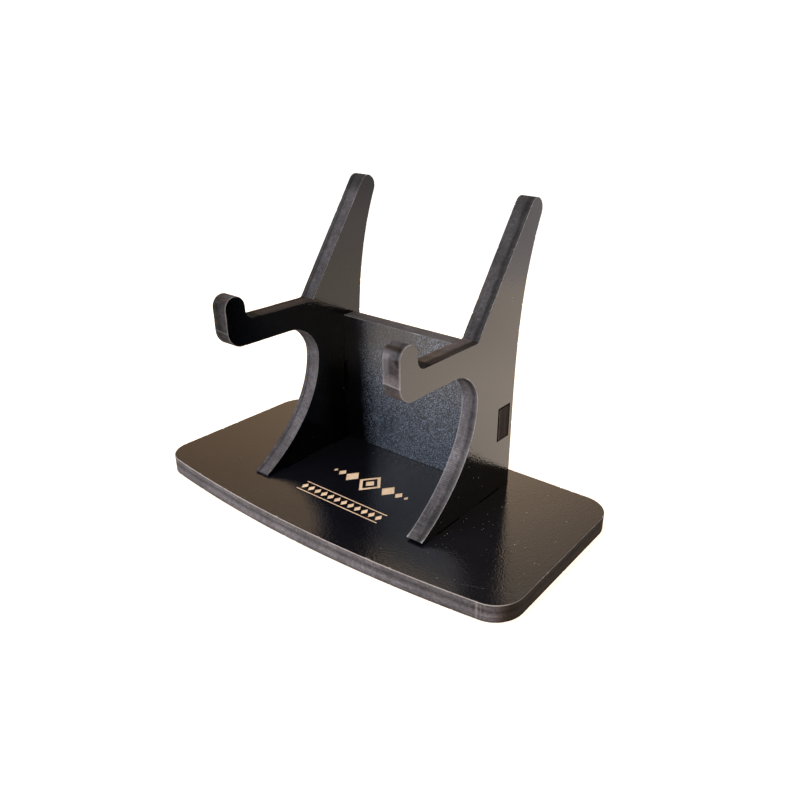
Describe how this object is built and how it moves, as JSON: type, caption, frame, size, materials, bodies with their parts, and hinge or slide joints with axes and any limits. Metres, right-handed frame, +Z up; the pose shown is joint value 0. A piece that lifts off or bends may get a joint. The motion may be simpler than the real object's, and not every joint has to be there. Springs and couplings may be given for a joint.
{
  "type": "game controller stand",
  "caption": "Desk stand that displays a game controller: bowed base plate, upright side supports with hooked forward arms, and a cross panel slotted between them.",
  "frame": {"origin": "centre of the bounding box at the standing surface, under the base plate", "axes": "+Z up, -Y towards the front where the arms and hooks point, +X to the right seen from the front"},
  "size_m": [0.15, 0.0762, 0.103],
  "materials": {
    "base_board": "black melamine-faced fibreboard with a fine grained semi-gloss face and charred dark grey cut edges",
    "left_support_board": "black melamine-faced fibreboard with a fine grained semi-gloss face and charred dark grey cut edges",
    "right_support_board": "black melamine-faced fibreboard with a fine grained semi-gloss face and charred dark grey cut edges",
    "back_panel_board": "black melamine-faced fibreboard with a fine grained semi-gloss face and charred dark grey cut edges"
  },
  "bodies": {
    "root": {"base_plate": "base_board", "left_support": "left_support_board", "right_support": "right_support_board", "back_panel": "back_panel_board"}
  },
  "joints": []
}
